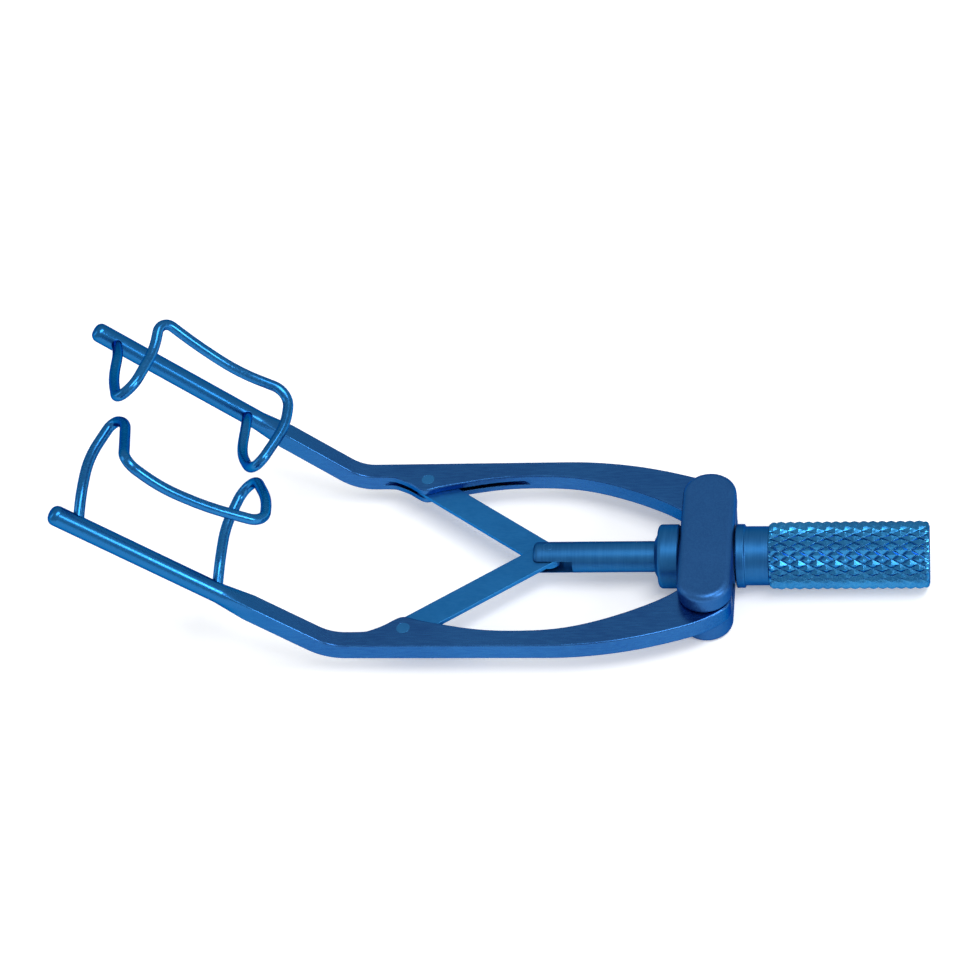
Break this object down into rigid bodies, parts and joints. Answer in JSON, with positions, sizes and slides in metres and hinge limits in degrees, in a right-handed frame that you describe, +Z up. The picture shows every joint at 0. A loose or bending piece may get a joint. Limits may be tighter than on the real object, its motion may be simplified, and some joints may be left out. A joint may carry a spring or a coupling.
{
  "type": "eyelid speculum",
  "caption": "Self-retaining eyelid speculum with open wire blades on bent arms, opened by links, a forked rod and a knurled thumb nut, in blue anodised metal",
  "frame": {"origin": "middle of the hinge block's lower flat face, below the screw axis", "axes": "+X along the screw towards the thumb nut, +Y towards the right arm, +Z up, the way the bars rise"},
  "size_m": [0.0721, 0.0231, 0.0243],
  "materials": {
    "body_blue": "satin blue anodised",
    "rod_blue": "satin blue anodised, turned",
    "pin_blue": "blue anodised, lighter",
    "knurl_blue": "blue anodised, diamond knurl",
    "collar_blue": "satin blue anodised, turned",
    "arm_blue": "satin blue anodised, fine brushed",
    "wire_blue": "glossy blue anodised wire",
    "link_blue": "satin blue anodised strip"
  },
  "bodies": {
    "block": {"hinge_block": "body_blue", "right_hinge_pin": "pin_blue", "left_hinge_pin": "pin_blue"},
    "nut": {"thumb_nut": "knurl_blue", "front_collar": "collar_blue"},
    "rod": {"fork_rod": "rod_blue", "fork_pin": "pin_blue"},
    "right_side": {"right_arm": "arm_blue", "right_blade_wire": "wire_blue", "right_link_pin": "pin_blue"},
    "left_side": {"left_arm": "arm_blue", "left_blade_wire": "wire_blue", "left_link_pin": "pin_blue"},
    "right_link": {"right_link": "link_blue"},
    "left_link": {"left_link": "link_blue"}
  },
  "joints": [
    {"name": "rod_slide", "type": "slide", "parent": "block", "child": "rod", "axis": [-1, 0, 0], "range_m": [-0.00013, 0.004]},
    {"name": "nut_spin", "type": "hinge", "parent": "block", "child": "nut", "pos_m": [0, 0, 0.0029], "axis": [1, 0, 0], "range_deg": [-91, 2882]},
    {"name": "right_arm_hinge", "type": "hinge", "parent": "block", "child": "right_side", "pos_m": [0, 0.0051, 0.0029], "axis": [0, 0, -1], "range_deg": [-0.33, 10.25]},
    {"name": "left_arm_hinge", "type": "hinge", "parent": "block", "child": "left_side", "pos_m": [0, -0.0051, 0.0029], "axis": [0, 0, 1], "range_deg": [-0.33, 10.25]},
    {"name": "right_link_hinge", "type": "hinge", "parent": "right_side", "child": "right_link", "pos_m": [-0.0256, 0.0088, 0.0029], "axis": [0, 0, -1], "range_deg": [-0.51, 16.18]},
    {"name": "left_link_hinge", "type": "hinge", "parent": "left_side", "child": "left_link", "pos_m": [-0.0256, -0.0088, 0.0029], "axis": [0, 0, 1], "range_deg": [-0.51, 16.18]}
  ],
  "couplings": [
    {"joint": "nut_spin", "follows": "rod_slide", "rad_per_m": 12566},
    {"joint": "right_arm_hinge", "follows": "rod_slide", "rad_per_m": 44.619},
    {"joint": "left_arm_hinge", "follows": "rod_slide", "rad_per_m": 44.619},
    {"joint": "right_link_hinge", "follows": "rod_slide", "rad_per_m": 70.458},
    {"joint": "left_link_hinge", "follows": "rod_slide", "rad_per_m": 70.458}
  ]
}
